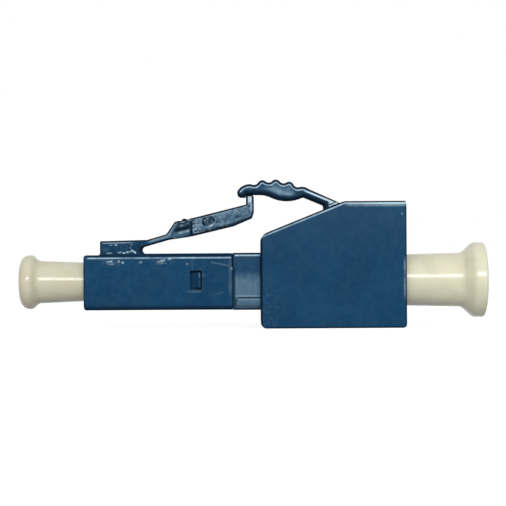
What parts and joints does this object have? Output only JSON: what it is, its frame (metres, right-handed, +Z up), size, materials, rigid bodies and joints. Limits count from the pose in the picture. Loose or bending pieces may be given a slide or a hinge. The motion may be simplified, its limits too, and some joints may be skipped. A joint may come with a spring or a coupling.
{
  "type": "fibre optic attenuator",
  "caption": "Plug-in fibre attenuator: square latched plug with a sprung ceramic ferrule, receptacle block with a sloping top and a ridged trigger, and push-in dust caps.",
  "frame": {"origin": "on the light path's axis, at the front face of the plug", "axes": "+X along the light path from the plug to the receptacle, +Z up from the block's base to the trigger, +Y away from the picture's viewer"},
  "size_m": [0.0375, 0.0062, 0.0118],
  "materials": {
    "blue_plastic": "satin moulded, fine grain on the levers",
    "cream_plastic": "smooth moulded, slightly milky",
    "white_ceramic": "polished",
    "nickel_brass": "nickel plated",
    "spring_steel": "bright drawn wire",
    "fibre_glass": "polished"
  },
  "bodies": {
    "housing": {"front_housing": "blue_plastic", "inner_body": "blue_plastic", "sleeve_holder": "blue_plastic", "split_sleeve": "white_ceramic", "rear_housing": "blue_plastic", "ferrule_spring": "spring_steel"},
    "latch": {"latch_lever": "blue_plastic"},
    "trigger": {"trigger_lever": "blue_plastic"},
    "front_cap": {"front_dust_cap": "cream_plastic"},
    "rear_cap": {"rear_dust_cap": "cream_plastic"},
    "ferrule_unit": {"ferrule": "white_ceramic", "doped_fibre": "fibre_glass", "ferrule_flange": "nickel_brass"}
  },
  "joints": [
    {"name": "trigger_press", "type": "hinge", "parent": "housing", "child": "trigger", "pos_m": [0.01895, 0, 0.0066], "axis": [0, -1, 0], "range_deg": [0, 18], "stiffness_Nm_per_rad": 0.002},
    {"name": "latch_flex", "type": "hinge", "parent": "housing", "child": "latch", "pos_m": [0.0054, 0, 0.00323], "axis": [0, 1, 0], "range_deg": [0, 13], "stiffness_Nm_per_rad": 0.000002, "springref_deg": -40.11},
    {"name": "front_cap_pull", "type": "slide", "parent": "housing", "child": "front_cap", "axis": [-1, 0, 0], "range_m": [0, 0.012]},
    {"name": "rear_cap_pull", "type": "slide", "parent": "housing", "child": "rear_cap", "axis": [1, 0, 0], "range_m": [0, 0.016]},
    {"name": "ferrule_float", "type": "slide", "parent": "housing", "child": "ferrule_unit", "axis": [1, 0, 0], "range_m": [0, 0.0008], "stiffness_N_per_m": 500, "deforming": ["ferrule_spring"]}
  ],
  "couplings": [
    {"joint": "latch_flex", "follows": "trigger_press", "ratio": 0.71}
  ]
}
